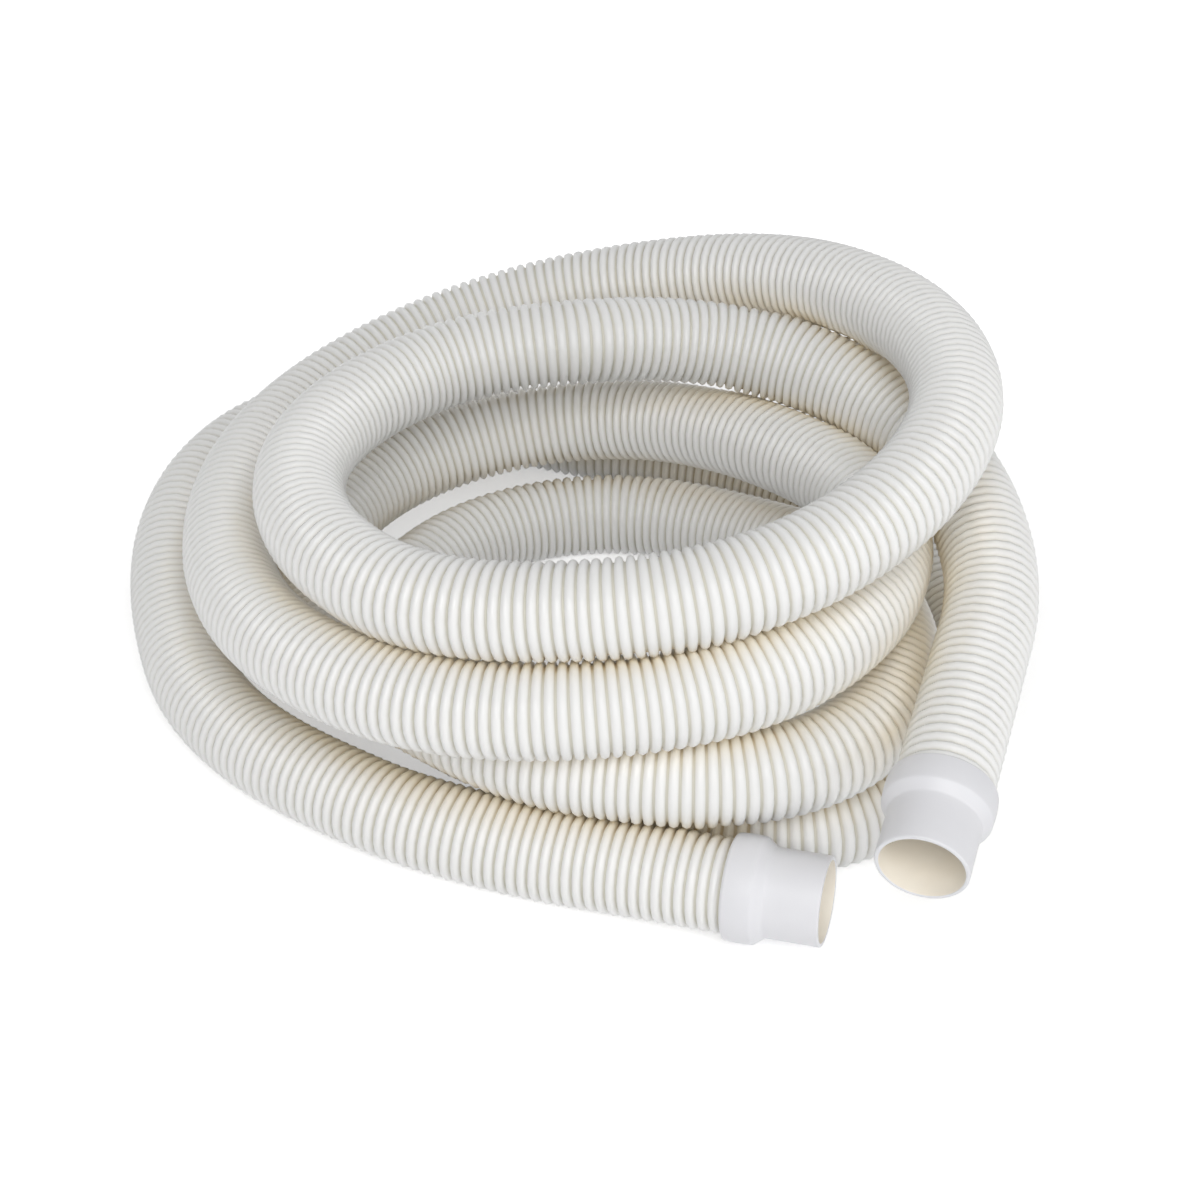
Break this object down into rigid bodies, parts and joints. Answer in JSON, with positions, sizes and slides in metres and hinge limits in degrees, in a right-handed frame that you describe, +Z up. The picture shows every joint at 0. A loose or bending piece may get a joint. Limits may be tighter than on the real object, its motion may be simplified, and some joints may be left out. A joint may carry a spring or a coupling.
{
  "type": "pool vacuum hose",
  "caption": "Coiled ribbed pool vacuum hose with a fixed cuff on one end and a swivelling cuff on the other, each open at its mouth.",
  "frame": {"origin": "middle of the outline seen from above, on the ground that the coil lies on", "axes": "+Z up, +Y away from the viewer at the front, where both cuffs lie, +X to the viewer's right"},
  "size_m": [0.4682, 0.4656, 0.1946],
  "materials": {
    "hose": "satin cream, slightly waxy",
    "cuff": "semi-matt white",
    "inner_plastic": "semi-matt white",
    "seal": "matt grey rubber"
  },
  "bodies": {
    "hose": {"hose": "hose", "fixed_cuff": "cuff", "swivel_sleeve": "inner_plastic", "seal_ring": "seal"},
    "swivel": {"swivel_cuff": "cuff", "retaining_ring": "inner_plastic"}
  },
  "joints": [
    {"name": "cuff_swivel", "type": "hinge", "parent": "hose", "child": "swivel", "pos_m": [0.17255, -0.18395, 0.08684], "axis": [-0.3057, -0.9406, -0.1477], "continuous": true}
  ]
}
